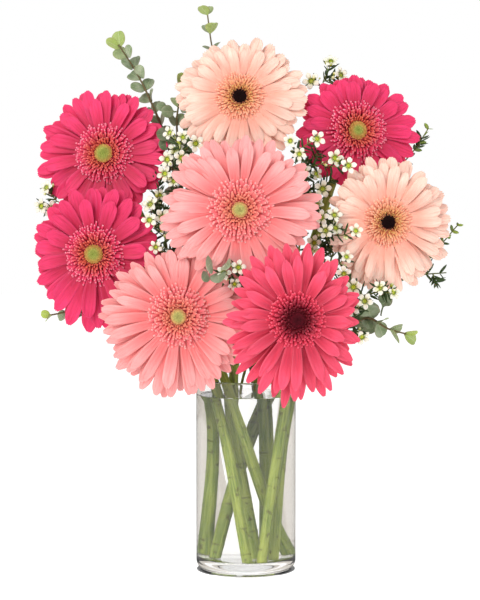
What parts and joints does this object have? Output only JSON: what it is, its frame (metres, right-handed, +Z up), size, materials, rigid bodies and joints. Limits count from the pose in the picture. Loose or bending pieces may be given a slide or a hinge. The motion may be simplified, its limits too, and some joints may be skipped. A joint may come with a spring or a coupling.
{
  "type": "gerberas in a vase",
  "caption": "Bouquet of pink, coral and peach gerberas with waxflower and eucalyptus, standing in water in a clear glass cylinder vase.",
  "frame": {"origin": "centre of the vase's foot, on the surface that it stands on", "axes": "+Z up along the vase's axis; the blooms face -Y, and +X is to their viewer's right"},
  "size_m": [0.3475, 0.1556, 0.45],
  "materials": {
    "vase_glass": "clear, polished",
    "water": "clear, still",
    "rays_hot_pink": "satin petal, hot pink",
    "rays_pink": "satin petal, light pink",
    "rays_peach": "satin petal, pale peach",
    "rays_coral": "satin petal, coral",
    "eye_green": "matte, tightly packed florets",
    "eye_dark": "matte, tightly packed florets",
    "gerbera_stem": "satin, finely haired",
    "waxflower": "waxy petals on thin green twigs",
    "eucalyptus": "matte, grey-green bloom"
  },
  "bodies": {
    "root": {"vase": "vase_glass", "water": "water", "gerbera_upper_left_rays": "rays_hot_pink", "gerbera_upper_left_eye": "eye_green", "gerbera_upper_left_stem": "gerbera_stem", "gerbera_lower_left_rays": "rays_hot_pink", "gerbera_lower_left_eye": "eye_green", "gerbera_lower_left_stem": "gerbera_stem", "gerbera_top_rays": "rays_peach", "gerbera_top_eye": "eye_dark", "gerbera_top_stem": "gerbera_stem", "gerbera_centre_rays": "rays_pink", "gerbera_centre_eye": "eye_green", "gerbera_centre_stem": "gerbera_stem", "gerbera_upper_right_rays": "rays_hot_pink", "gerbera_upper_right_eye": "eye_green", "gerbera_upper_right_stem": "gerbera_stem", "gerbera_right_rays": "rays_peach", "gerbera_right_eye": "eye_dark", "gerbera_right_stem": "gerbera_stem", "gerbera_front_left_rays": "rays_pink", "gerbera_front_left_eye": "eye_green", "gerbera_front_left_stem": "gerbera_stem", "gerbera_front_right_rays": "rays_coral", "gerbera_front_right_eye": "eye_dark", "gerbera_front_right_stem": "gerbera_stem", "waxflower_left": "waxflower", "waxflower_upper_left": "waxflower", "waxflower_upper_right": "waxflower", "waxflower_right": "waxflower", "waxflower_centre": "waxflower", "eucalyptus_upper_left": "eucalyptus", "eucalyptus_top": "eucalyptus", "eucalyptus_left": "eucalyptus", "eucalyptus_lower_left": "eucalyptus", "eucalyptus_lower_right": "eucalyptus", "eucalyptus_centre": "eucalyptus"}
  },
  "joints": []
}
